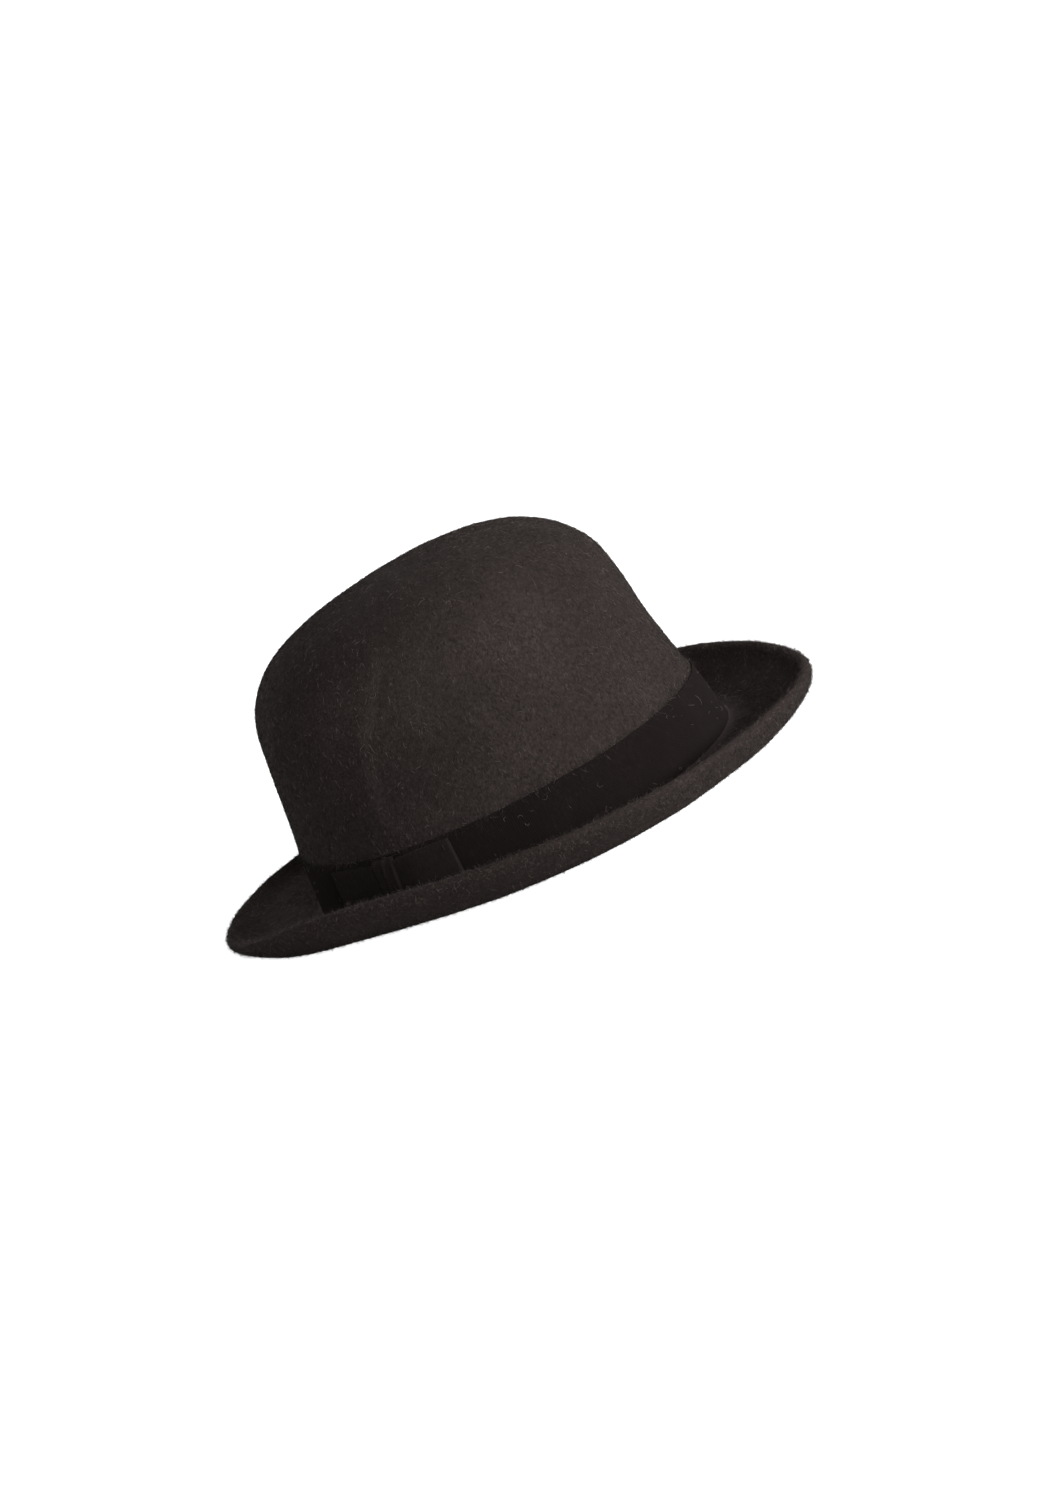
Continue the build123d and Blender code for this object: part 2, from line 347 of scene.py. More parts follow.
def brim_place(out, up, run):
    """Points from their distance out from the crown and height, joined on to the crown's real foot."""
    normal = unit(np.stack([np.sin(angles) / HALF_WIDTH, -np.cos(angles) / HALF_LENGTH], 1))
    foot = wall(angles, 0.0, 0.0)
    nominal = np.stack([HALF_WIDTH * np.sin(angles), CENTRE - HALF_LENGTH * np.cos(angles)], 1)
    stray = (foot[:, :2] - nominal) * (1 - smooth_step(run / 20))[..., None]
    flat = nominal + stray + normal * out[..., None]
    return np.concatenate([flat, BREAK + up[..., None]], -1)


def soften(rows, centre, passes):
    """Rounds the corner between rows near one row, by averaging each row with its neighbours."""
    for n in range(passes):
        reach = passes - n
        part = rows[centre - reach - 1:centre + reach + 2]
        rows[centre - reach:centre + reach + 1] = (part[:-2] + 2 * part[1:-1] + part[2:]) / 4
    return rows


def felt_rows():
    """The felt body as rows from the top outside, over the brim's edge, to the top inside."""
    outside = crown_rows(CROWN_ROWS, 0.0, 0.0)
    runs = np.linspace(0, 1, BRIM_ROWS + 1)[1:]
    top = brim_rows(runs, False)
    under = brim_rows(runs, True)[::-1]
    middle = (top[-1] + under[0]) / 2
    arm = top[-1] - middle
    tip = top[-1] - top[-2] + under[0] - under[1]
    tip = unit(tip) * np.linalg.norm(arm, axis=1, keepdims=True)
    turn = np.linspace(0, math.pi, EDGE_ROWS + 2)[1:-1, None, None]
    edge = middle + arm * np.cos(turn) + tip * np.sin(turn)
    inside = crown_rows(INNER_ROWS, FELT, -FELT)[::-1]
    rows = np.concatenate([outside, top, edge, under, inside])
    soften(rows, CROWN_ROWS, BREAK_SOFTENING)
    soften(rows, CROWN_ROWS + 2 * BRIM_ROWS + EDGE_ROWS, BREAK_SOFTENING)
    return rows


# Waves are a height, a spacing and a seed; bends are a size, a rise or an angle in degrees, and a width.
SWELLS = ((0.45, 70, 1), (0.16, 22, 2))
MOST_HOLLOW = 2.2
HOLLOW_DEPTH = 1.2
HOLLOW_ANGLE = 94.0
HOLLOW_EDGE = 9.0
HOLLOW_REACH = 75.0
HOLLOW_RISES = (30.0, 42.0, 92.0, 112.0)
FULL_ANGLE = 36.0
FULL_SHOULDER = (1.7, 92.0, 15.0)
LEAN_WALL = (1.5, 54.0, 20.0)
BENT_IN = ((2.5, 218.0, 21.0), (2.5, 28.0, 24.0))
BENT_DOWN = (2.1, 218.0, 28.0)
RAISED = ((1.5, 88.0, 36.0), (1.0, 170.0, 14.0))
BRIM_WAVES = ((0.7, 90, 3), (0.25, 30, 4))
ABOVE_FLOOR = 0.1


def hollow(rise):
    """The shallow hollow that handling has pressed into the crown's left side, with a curved edge."""
    foot, low, high, top = HOLLOW_RISES
    bend = np.where(rise > low, 8 * ((rise - low) / 40) ** 2, 7 * ((low - rise) / 12) ** 2)
    behind = np.radians(np.degrees(angles) - HOLLOW_ANGLE - bend) * HALF_LENGTH
    depth = HOLLOW_DEPTH * smooth_step(behind / HOLLOW_EDGE + 0.5)
    depth = depth * (1 - smooth_step((behind - HOLLOW_EDGE) / HOLLOW_REACH))
    return depth * smooth_step((rise - foot) / (low - foot)) * smooth_step((top - rise) / (top - high))


def hump(value, size, middle, width):
    """A smooth rise to a size at a middle value, that fades over a width on both sides."""
    return size * bell((value - middle) / width)


def round_hump(size, angle, width):
    """A smooth rise at an angle in degrees round the hat, over the grid's columns."""
    away = (np.degrees(angles) - angle + 180) % 360 - 180
    return hump(away, size, 0, width)


def fullness(rise):
    """Extra fullness at two opposite shoulders of the crown, and a leaner wall below them."""
    along = np.cos(angles - math.radians(FULL_ANGLE)) ** 2
    return along * (hump(rise, *FULL_SHOULDER) - hump(rise, *LEAN_WALL))


def handle(rows, spread, on_brim):
    """Bends the brim as hands have: in at two corners, up at the left and back, down at the back right."""
    outward = np.stack([np.sin(angles), -np.cos(angles)], 1)
    inward = on_brim * sum(round_hump(*bend) for bend in BENT_IN)
    curled = smooth_step((rows[..., 2] - 2) / 8)
    rows[..., :2] -= outward * inward[..., None]
    rows[..., 2] += sum(round_hump(*bend) for bend in RAISED) * smooth_step((spread - 1) / 0.16)
    rows[..., 2] -= round_hump(*BENT_DOWN) * on_brim * curled


def uneven(rows):
    """The unevenness of worn blocked felt: the crown swells and hollows in places, and the brim waves."""
    normal = np.cross(np.gradient(rows, axis=0), np.roll(rows, -1, 1) - np.roll(rows, 1, 1))
    normal /= np.linalg.norm(normal, axis=2, keepdims=True) + 1e-9
    outer = np.arange(len(rows))[:, None] < CROWN_ROWS - BREAK_SOFTENING
    rise = rows[..., 2] - BREAK
    swell = np.maximum(ripples(rows, SWELLS) - hollow(rise) + fullness(rise), -MOST_HOLLOW)
    rows = rows + normal * np.where(outer, swell, 0)[..., None]
    flat = rows * [1, 1, 0]
    spread = np.linalg.norm((rows - [0, CENTRE, 0])[..., :2] / [HALF_WIDTH, HALF_LENGTH], axis=2)
    on_brim = smooth_step((spread - 1.08) / 0.3)
    handle(rows, spread, on_brim)
    rows[..., 2] += on_brim * ripples(flat, BRIM_WAVES)
    rows[..., 2] = (rows[..., 2] + np.sqrt(rows[..., 2] ** 2 + ABOVE_FLOOR)) / 2
    return rows


# ---------------------------------------- nap

LENGTH_SPREAD = 0.35
LONGEST = 1.8
LOWEST = 0.08
STEEPEST = 1.4
ROOT_DEPTH = 0.08
AGAINST_NAP = 0.3
LEAST_CLEARANCE = 0.02
CURL_POINTS = 12
CURLED_HAIR_RADIUS = 0.042


def nap(name, grown, shades, length, thick, yaw, lift, seed):
    """Fibres that stand a little off the felt: each a bent, tapered three-sided prism along the nap."""
    places, normals, along = grown
    source = np.random.default_rng(seed)
    count = len(places)
    turn = source.normal(0, yaw, count)[:, None]
    heading = along * np.cos(turn) + np.cross(normals, along) * np.sin(turn)
    heading *= np.where(source.random(count) < AGAINST_NAP, -1, 1)[:, None]
    size = source.lognormal(math.log(length), LENGTH_SPREAD, count)
    size = np.minimum(size, LONGEST * length)[:, None]
    rise = np.minimum(np.abs(source.normal(0, lift, count)) + LOWEST, STEEPEST)[:, None]
    hook = source.normal(0, 0.5, count)[:, None]
    foot = places - normals * ROOT_DEPTH
    knee = foot + size / 2 * (heading + normals * rise)
    bent = heading * np.cos(hook) + np.cross(normals, heading) * np.sin(hook)
    tip = knee + size / 2 * (bent + normals * rise * source.uniform(-0.4, 0.9, (count, 1)))
    side = unit(np.cross(normals, heading))
    corner = np.radians([90, 210, 330])[:, None, None]
    ring = (side * np.cos(corner) + normals * np.sin(corner)) * thick
    vertices = np.concatenate([foot + ring, knee + ring * 0.9, tip[None]])
    vertices = vertices.transpose(1, 0, 2).reshape(-1, 3)
    vertices[:, 2] = np.maximum(vertices[:, 2], LEAST_CLEARANCE)
    pattern = [[2, 1, 0], [0, 1, 4], [0, 4, 3], [1, 2, 5], [1, 5, 4], [2, 0, 3], [2, 3, 5]]
    pattern += [[3, 4, 6], [4, 5, 6], [5, 3, 6]]
    corners = np.arange(count)[:, None, None] * 7 + np.array(pattern)
    piece = new_mesh(name, vertices, corners.ravel(), np.full(count * 10, 3))
    dress(piece, fibres[0], "felt")
    for material in fibres[1:]:
        piece.data.materials.append(material)
    shade = source.choice(len(fibres), count, p=shades)
    piece.data.polygons.foreach_set("material_index", np.repeat(shade, 10).astype(np.int32))


def curls(name, grown, length, base, seed):
    """Loose curled hairs that lie on the felt, or on the ribbon over it."""
    places, normals, along = grown
    source = np.random.default_rng(seed)
    count = len(places)
    share = np.linspace(0, 1, CURL_POINTS)[None]
    turn = source.uniform(0, 2 * math.pi, (count, 1)) + source.normal(0, 3.0, (count, 1)) * share
    step = source.lognormal(math.log(length), LENGTH_SPREAD, (count, 1)) / CURL_POINTS
    forward, sideways = np.cumsum(np.cos(turn) * step, 1), np.cumsum(np.sin(turn) * step, 1)
    height = base + source.uniform(0.1, 0.7, (count, 1)) * np.sin(share * math.pi)
    offsets = zip((along, np.cross(normals, along), normals), (forward, sideways, height))
    paths = places[:, None] + sum(axis[:, None] * amount[..., None] for axis, amount in offsets)
    dress(tubes(name, paths, CURLED_HAIR_RADIUS, 5), fibres[2], "felt")


def scatter(rows, count, weights, seed):
    """Random places on a grid of rows, with the surface's outward normal and its direction down a row."""
    source = np.random.default_rng(seed)
    down = rows[1:] - rows[:-1]
    across = (np.roll(rows, -1, 1) - rows)[:-1]
    normals = np.cross(down, across)
    area = np.linalg.norm(normals, axis=2)
    chance = (area * weights[:-1]).ravel()
    cell = source.choice(len(chance), count, p=chance / chance.sum())
    j, k = np.divmod(cell, rows.shape[1])
    u, v = source.random((2, count, 1))
    places = rows[j, k] + down[j, k] * u + across[j, k] * v
    return places, unit(normals[j, k]), unit(down[j, k])


# ---------------------------------------- trim outside

BAND_FACE = -(GAP + RIBBON)
EDGE_WAVE = 0.25
SELVEDGE = 0.1
BAND_PUFF = 0.12
BOW_TURN = math.radians(BOW_ANGLE)
BOW_HOLLOW = 0.8
LOOP_LOW = BOW_LIFT
LOOP_HIGH = BAND_LIFT + BAND_HEIGHT - BOW_DROP
KNOT_REACH = 0.9
TACK_RADIUS = 0.3
TACK_LENGTH = 3.0
TACK_EDGE = 2.5
BAND_TACKS = (20, 135, 180, 225, 270, 340)


def strip_section(count):
    """A ribbon's cross-section in one row: -1 to 1 across it, 0 to 1 from back to face, and its edges."""
    face = np.linspace(-1, 1, count)
    turn = np.linspace(0, math.pi, 7)[1:-1]
    edge = np.ones_like(turn)
    wide = np.concatenate([face, edge, face[::-1], -edge])
    thick = np.concatenate([np.ones_like(face), (1 + np.cos(turn)) / 2, 0 * face, (1 - np.cos(turn)) / 2])
    bulge = np.concatenate([0 * face, np.sin(turn), 0 * face, -np.sin(turn)])
    return wide[None], thick[None], bulge[None]


def hatband():
    """The wide ribbon, with a slightly wavy upper edge and thicker woven edges."""
    turn = turns(420)[:, None]
    wide, thick, bulge = strip_section(26)
    at = np.concatenate([np.cos(turn), np.sin(turn), 0 * turn], 1) * MEAN_RADIUS
    high = BAND_LIFT + BAND_HEIGHT + EDGE_WAVE * ripple(at, 60, 11)[:, None]
    middle, half = (BAND_LIFT + high) / 2, (high - BAND_LIFT) / 2
    rise = middle + wide * half + bulge * RIBBON * 0.4
    selvedge = SELVEDGE * bell(((1 - np.abs(wide)) * half - 0.9) / 0.5)
    puff = BAND_PUFF * (1 - ripple(at, 34, 12)[:, None]) * (1 - wide**2)
    inset = -GAP - (RIBBON + selvedge + puff) * thick
    return skin("hatband_ribbon", wall(turn, rise, inset), ring=True)


def bow_path():
    """The flattened loop of ribbon, as distances round the hat and depths in front of the band."""
    gap = (BOW_HOLLOW + RIBBON) / 2
    half = BOW_LENGTH / 2 - gap
    end = np.linspace(0, math.pi, 15)[1:-1]
    side, lift = gap * np.sin(end), gap * np.cos(end)
    line = np.linspace(-half, half, 120)
    out = np.concatenate([line, half + side, line[::-1], -half - side])
    depth = np.concatenate([0 * line + 2 * gap, gap + lift, 0 * line, gap - lift])
    return out[:, None], depth[:, None] + GAP + RIBBON / 2


def bow_loop():
    """The side bow: one flat loop of ribbon, pinched a little under its knot."""
    out, depth = bow_path()
    front = smooth_step((depth - 1.3) / 0.8)
    pinch = bell(out / 11)
    wide, thick, _ = strip_section(22)
    half = (LOOP_HIGH - LOOP_LOW) / 2 - 0.9 * pinch
    rise = (LOOP_HIGH + LOOP_LOW) / 2 + wide * half + 0.35 * np.sin(out / 21)
    folds = 0.28 * np.cos(wide * 5.2 + np.sign(out)) * np.exp(-np.abs(out) / 13)
    puff = front * (0.45 * np.sin(np.abs(out) / 36 * math.pi) * (1 - 0.6 * wide**2) - 0.5 * pinch + folds)
    route = np.stack([out, depth], -1)
    ahead = unit(np.roll(route, -3, 0) - np.roll(route, 3, 0))
    off = (0.5 - thick) * RIBBON
    distance = out + ahead[..., 1] * off
    reach = depth - ahead[..., 0] * off + puff
    turn = beside(BOW_TURN, distance)
    return skin("bow_ribbon_loop", wall(turn, rise, BAND_FACE - reach), ring=True)


def bow_knot():
    """The short ribbon wrapped over the middle of the bow, with soft pleats down it."""
    shares = np.linspace(0, 1, 70)[:, None]
    low, high = LOOP_LOW - KNOT_REACH, LOOP_HIGH + KNOT_REACH
    face = 2 * GAP + 2 * RIBBON + BOW_HOLLOW + RIBBON / 2 - 0.35
    turn = np.clip((shares - 0.5) * 2, -1, 1)
    bend = np.abs(turn) ** 9
    rise = (low + high) / 2 + (high - low) / 2 * np.sign(turn) * (1 - (1 - np.abs(turn)) ** 1.15)
    depth = face - (face - 0.7) * bend - 0.15 * turn**2
    wide, thick, bulge = strip_section(34)
    pleats = 0.34 * np.cos(wide * 7.5 + 0.5 * np.sin(shares * 5)) * (1 - 0.25 * bend)
    half = KNOT_WIDTH / 2 - 0.8 * np.cos(turn * math.pi / 2) ** 2
    reach = depth + (thick - 0.5) * RIBBON * (1 - 0.4 * np.abs(wide) ** 6) + pleats - 0.5 * wide**4
    angle = beside(BOW_TURN, wide * half + bulge * 0.3)
    return skin("bow_ribbon_knot", wall(angle, rise, BAND_FACE - reach))


def stitch_path(angle, rise, inset, length, slant, dip):
    """A stitch's centreline that runs over the surface and dives in at both ends."""
    share = np.linspace(-1, 1, 9)
    out = share * length / 2
    turn = beside(angle, out * math.cos(slant))
    return wall(turn, rise + out * math.sin(slant), inset + dip * share**4)


def tacks():
    top = BAND_LIFT + BAND_HEIGHT - TACK_EDGE
    over_band = BAND_FACE - TACK_RADIUS * 0.7
    paths = [stitch_path(math.radians(a), top, over_band, TACK_LENGTH, 0.12, 0.6) for a in BAND_TACKS]
    over_bow = BAND_FACE - 2 * GAP - 2 * RIBBON - BOW_HOLLOW - 0.05
    sides = [beside(BOW_TURN, side * (BOW_LENGTH / 2 - 2.8)) for side in (-1, 1)]
    rises = LOOP_LOW + TACK_EDGE, LOOP_HIGH - TACK_EDGE
    ends = [stitch_path(a, rise, over_bow, TACK_LENGTH, 1.45, 0.6) for a in sides for rise in rises]
    band = tubes("hatband_tacks", np.array(paths), TACK_RADIUS * 0.75, twist=5)
    return band, tubes("bow_ribbon_tacks", np.array(ends), TACK_RADIUS * 0.75, twist=5)


# ---------------------------------------- inside the hat

FACE_INSET = SWEATBAND_INSET + LEATHER
SWEATBAND_LIFT = 0.2
PRESSED_LINES = (3.2, 4.6)
BACK_RADIUS = 98.0
STITCH_COUNT = 88
STITCH_LENGTH = 3.2
STITCH_RISE = 2.2
STITCH_RADIUS = 0.25
SEAM_RISE = 15.0
SEAM_SLANT = 0.42
REED_INSET = 4.6
REED_RISE = -1.2
REED_RADIUS = 0.8
TAPE = 0.35
TAPE_RISES = (-2.0, 5.0)
PLEATS = 74
CORD_RADIUS = 0.8
SMALL_BOW_RISE = 7.5
LABEL_ANGLE = math.radians(142)
LABEL_RISE = 20.0
FILM = 0.25
FILM_HALF_LENGTH = 56.0
FILM_HALF_WIDTH = 42.0


def sweatband():
    """Leather band with a rolled lower edge, two pressed lines, a soft top and a joint at the back."""
    turn = turns(480)[:, None]
    wide, thick, bulge = strip_section(64)
    at = np.concatenate([np.cos(turn), np.sin(turn), 0 * turn], 1) * 90
    height = SWEATBAND_HEIGHT + 0.3 * ripple(at, 80, 21)[:, None]
    up = (wide + 1) / 2
    rise = SWEATBAND_LIFT + up * (height - SWEATBAND_LIFT) + bulge * 0.4
    from_top = (1 - up) * height
    lines = 0.22 * sum(bell((from_top - line) / 0.35) for line in PRESSED_LINES)
    back = (turn - math.pi) * BACK_RADIUS
    joint = 0.5 * bell(back / 0.45) + 0.2 * smooth_step(back + 4) * (back < 0)
    lean = 0.9 * up**3 * (1 + ripple(at, 70, 22)[:, None])
    body = LEATHER + 0.1 * ripple(np.stack(np.broadcast_arrays(at[:, :1], at[:, 1:2], rise), -1), 14, 23)
    inset = SWEATBAND_INSET + lean + body * thick - (lines + joint * (up < 0.99)) * thick
    return skin("sweatband_leather", wall(turn, rise, inset), ring=True)


def round_ring(name, centre_line, radius, sides=12, strands=0.0, lay=0.0):
    """A closed round cord along a closed line of points, with optional twisted strands."""
    ahead = unit(np.roll(centre_line, -1, 0) - np.roll(centre_line, 1, 0))
    aside = unit(np.cross(ahead, [0, 0, 1]))
    above = np.cross(aside, ahead)
    turn = turns(sides)[None, :, None]
    twist = lay * turns(len(centre_line))[:, None, None]
    size = radius * (1 + strands * np.cos(3 * turn + twist))
    spread = aside[:, None] * np.cos(turn) + above[:, None] * np.sin(turn)
    return skin(name, centre_line[:, None] + size * spread, ring=True)


def reed():
    return round_ring("sweatband_reed_cord", wall(turns(300), REED_RISE, REED_INSET), REED_RADIUS)


def reed_tape():
    wide, thick, _ = strip_section(10)
    low, high = TAPE_RISES
    rise = (low + high) / 2 + wide * (high - low) / 2
    loops = wall(turns(360)[:, None], rise, FELT + GAP + TAPE * thick)
    return skin("sweatband_reed_tape", loops, ring=True)


def sweatband_stitches():
    angle = 2 * math.pi * (np.arange(STITCH_COUNT) + 0.5) / STITCH_COUNT
    inset = FACE_INSET + STITCH_RADIUS * 0.5
    paths = [stitch_path(a, STITCH_RISE, inset, STITCH_LENGTH, 0.05, -0.7) for a in angle]
    row = tubes("sweatband_stitch_row", np.array(paths), STITCH_RADIUS, twist=5)
    inset = FACE_INSET + STITCH_RADIUS * 0.5 - 0.25
    slants = [(SEAM_RISE + 4 * k, SEAM_SLANT if k % 2 else -SEAM_SLANT) for k in range(6)]
    seam = [stitch_path(math.pi, rise, inset, 3.6, slant, -0.5) for rise, slant in slants]
    return row, tubes("sweatband_back_stitches", np.array(seam), STITCH_RADIUS, twist=5)


def sweatband_bow():
    """A small flat bow over the foot of the back seam, pinched at its middle."""
    share = np.linspace(-1, 1, 61)[:, None]
    wide, thick, _ = strip_section(12)
    half = 2.4 + 1.6 * np.abs(share) ** 0.8
    rise = SMALL_BOW_RISE + wide * half + 0.3 * np.sin(share * 4)
    fan = 0.22 * np.cos(wide * 6) * (1 - np.abs(share) ** 0.5)
    puff = 0.35 * np.sin(np.abs(share) * math.pi)
    inset = FACE_INSET + GAP + 0.15 + 0.45 * thick + puff + fan
    turn = beside(math.pi, share * 13)
    loops = skin("sweatband_ribbon_bow", wall(turn, rise, inset))
    across = np.linspace(-1, 1, 25)[:, None]
    rise = SMALL_BOW_RISE + across * 2.9
    wrap = 0.9 * np.sqrt(np.maximum(1 - across**8, 0))
    inset = FACE_INSET + GAP + 0.1 + wrap + 0.35 * thick - 0.15 * wide**2
    turn = beside(math.pi, wide * 1.7)
    knot = skin("sweatband_ribbon_bow_knot", wall(turn, rise, inset))
    return loops, knot


def size_label():
    """Small blank woven label on the sweatband."""
    share = np.linspace(-1, 1, 40)[:, None]
    wide, thick, _ = strip_section(14)
    turn = beside(LABEL_ANGLE, share * 17)
    curl = 0.25 * (share**6 + wide**6 * 0.6)
    rise = LABEL_RISE + wide * 6.5
    return skin("size_label_cloth", wall(turn, rise, FACE_INSET + 0.75 + 0.25 * thick + curl))


def lining_wall():
    """Gathered satin: soft uneven pleats that grow from the sweatband up to the seam."""
    source = np.random.default_rng(58)
    turn = turns(1100)
    knots = (np.arange(PLEATS) + source.uniform(-0.33, 0.33, PLEATS)) * 2 * math.pi / PLEATS
    knots = np.sort(knots % (2 * math.pi))
    strength = source.uniform(0.45, 1.35, PLEATS)
    share = np.linspace(0, 1, 34)[:, None]
    drift = source.normal(0, 0.02, PLEATS)
    fold = np.zeros((len(share), len(turn)))
    for place, power, slide in zip(knots, strength, drift):
        away = (turn - place - slide * (1 - share) + math.pi) % (2 * math.pi) - math.pi
        fold += power * bell(away / 0.026)
    fold *= 0.3 + 0.7 * smooth_step(share)
    inset = LINING_INSET + 0.15 + 1.15 * fold
    low = wall_height(turn, LINING_FOOT, LINING_INSET)
    height = low + (SEAM_HEIGHT - 0.3 - low) * share
    outer = crown_point(turn, height, inset)
    inner = crown_point(turn, height, inset + SATIN)
    return skin("lining_gathered_wall", np.concatenate([outer, inner[::-1]]), ring=True)


def lining_tip():
    """The satin oval that closes the lining, with its underside and a slight sag between seam and top."""
    low = SEAM_HEIGHT + 0.3
    share = np.sin(np.linspace(math.pi / 2 * 0.995, 0, 46))[:, None]
    height = low + (CROWN_HEIGHT - LINING_INSET - low) * share
    points = crown_point(turns(240), height, LINING_INSET) - [0, CENTRE, 0]
    layers = []
    for depth in (0, SATIN):
        shrink = 1 - depth / 80
        layer = points * [shrink, shrink, 1] + [0, CENTRE, 0]
        sag = 0.35 * (1 + ripple(layer * [1, 1, 0], 26, 31))
        layer[..., 2] -= depth + sag * smooth_step(share * 1.5)
        layers.append(layer)
    return skin("lining_satin_tip", np.concatenate([layers[0], layers[1][::-1]]))


def seam_cord():
    line = crown_point(turns(1400), SEAM_HEIGHT, LINING_INSET + SATIN + 0.5 + CORD_RADIUS)
    return round_ring("lining_piping", line, CORD_RADIUS, 10, 0.12, 150)


def tip_protector():
    """Clear film over the middle of the tip, with a pressed edge."""
    turn = turns(160)
    share = np.linspace(0.02, 1, 30)[:, None]
    x, y = FILM_HALF_WIDTH * share * np.sin(turn), -FILM_HALF_LENGTH * share * np.cos(turn)
    height = film_height(x, y)
    sag = 0.8 + FILM + 0.5 * np.sin(share * 9)
    top = np.stack([x, y + CENTRE, height - sag], -1)
    low = top - [0, 0, FILM]
    return skin("tip_protector_film", np.concatenate([top, low[::-1]]))


def film_height(x, y):
    """The height of the lining's tip under a point."""
    high = CROWN_HEIGHT - LINING_INSET - SATIN
    base_y = y - DOME_SHIFT * high
    spread = np.hypot(x / (HALF_WIDTH - LINING_INSET), base_y / (HALF_LENGTH - LINING_INSET))
    share = np.linspace(0.5, 1, 400)
    radius = crown_radius(share)
    found = np.interp(spread, radius[::-1], share[::-1])
    return BREAK + high * found + DOME_TILT * base_y


# ---------------------------------------- materials

class Nodes:
    """Short calls that add nodes to one material or world."""

    def __init__(self, owner):
        owner.use_nodes = True
        self.owner = owner
        self.tree = owner.node_tree

    def node(self, kind, **inputs):
        return self.fill(self.tree.nodes.new(kind), inputs)

    def look(self, **inputs):
        """Sets inputs of the material's own shader, each to a value or to another node's output."""
        self.fill(self.tree.nodes["Principled BSDF"], inputs)

    def fill(self, made, inputs):
        for key, value in inputs.items():
            self.put(made.inputs[key.replace("_", " ")], value)
        return made

    def put(self, socket, value):
        if isinstance(value, bpy.types.NodeSocket):
            self.tree.links.new(value, socket)
        else:
            socket.default_value = value

    def place(self, scale=(1, 1, 1), kind="Object", turn=(0, 0, 0)):
        """Coordinates in millimetres times a scale."""
        source = self.node("ShaderNodeTexCoord").outputs[kind]
        scale = [1000 * value for value in scale]
        made = self.node("ShaderNodeMapping", Vector=source, Scale=scale, Rotation=turn)
        return made.outputs["Vector"]

    def noise(self, vector, size, detail=3.0, roughness=0.55):
        settings = {"Scale": 1 / size, "Detail": detail, "Roughness": roughness}
        return self.node("ShaderNodeTexNoise", Vector=vector, **settings).outputs["Fac"]

    def ramp(self, value, *stops):
        """A colour ramp from (position, colour) stops."""
        made = self.node("ShaderNodeValToRGB", Fac=value)
        points = made.color_ramp.elements
        for point, (position, colour) in zip(points, (stops[0], stops[-1])):
            point.position = position
            point.color = (*colour, 1)
        for position, colour in stops[1:-1]:
            points.new(position).color = (*colour, 1)
        return made.outputs["Color"]

    def math(self, operation, first, second=0.0):
        made = self.node("ShaderNodeMath")
        made.operation = operation
        self.put(made.inputs[0], first)
        self.put(made.inputs[1], second)
        return made.outputs["Value"]

    def wave(self, vector, axis, pitch, distortion=0.0):
        """Bands across one axis, a pitch apart."""
        split = self.node("ShaderNodeSeparateXYZ", Vector=vector).outputs[axis]
        if distortion:
            stray = self.math("MULTIPLY", self.noise(vector, 6), distortion)
            split = self.math("ADD", split, stray)
        turn = self.math("MULTIPLY", split, 2 * math.pi / pitch)
        return self.math("MULTIPLY_ADD", self.math("SINE", turn), 0.5)

    def blend(self, *parts):
        """The sum of values, each times its share."""
        total = 0.0
        for value, share in parts:
            total = self.math("ADD", self.math("MULTIPLY", value, share), total)
        return total

    def bump(self, height, distance, strength=1.0, below=None):
        made = self.node("ShaderNodeBump", Height=height, Distance=distance / 1000, Strength=strength)
        if below is not None:
            self.put(made.inputs["Normal"], below)
        return made.outputs["Normal"]


FELT_DARK = (0.0105, 0.0081, 0.0076)
FELT_MIDDLE = (0.0210, 0.0164, 0.0153)
FELT_LIGHT = (0.0430, 0.0335, 0.0310)
NAP_DARK = (0.0175, 0.0136, 0.0128)
NAP_BROWN = (0.038, 0.0302, 0.0282)
NAP_PALE = (0.12, 0.099, 0.091)
BROWN_SHEEN = (0.7, 0.6, 0.56, 1)
RIB = 0.95
BAND_COLOURS = (0.0050, 0.0037, 0.0035), (0.0145, 0.0113, 0.0106)
# The bow is the band's own ribbon, painted lighter than the band to make up for the shade it sits in on
# its side of the hat
BOW_COLOURS_PAINTED_LIGHT = (0.0092, 0.0071, 0.0069), (0.019, 0.0150, 0.0143)


def shader(name, colour, roughness, **settings):
    """The nodes of a new material whose values are, so far, the same all over."""
    n = Nodes(bpy.data.materials.new(name))
    n.look(Base_Color=(*colour, 1), Roughness=roughness, **settings)
    return n


def felt_material():
    """Worn wool felt: near-black brown, slightly patchy, with a matted surface."""
    sheen = {"Sheen_Weight": 0.035, "Sheen_Roughness": 0.5, "Sheen_Tint": BROWN_SHEEN}
    n = shader("fur_felt", FELT_MIDDLE, 0.96, Specular_IOR_Level=0.015, **sheen)
    here = n.place()
    patches = n.noise(here, 34, 4, 0.6)
    fluff = n.noise(here, 1.6, 4, 0.7)
    strands = n.noise(n.place((1, 1, 0.3), turn=(0.2, 0.15, 0)), 0.42, 3, 0.65)
    mix = n.blend((patches, 0.2), (fluff, 0.32), (strands, 0.48))
    colour = n.ramp(mix, (0.34, FELT_DARK), (0.5, FELT_MIDDLE), (0.66, FELT_LIGHT))
    n.look(Base_Color=colour, Normal=n.bump(strands, 0.28, 0.8, n.bump(fluff, 0.5, 0.6)))
    return n.owner


def nap_materials():
    """Three shades of fibre, from the felt's own brown to a pale straw."""
    shades = {"nap_dark": NAP_DARK, "nap_brown": NAP_BROWN, "nap_pale": NAP_PALE}
    return [shader(name, colour, 0.85, Specular_IOR_Level=0.08).owner for name, colour in shades.items()]


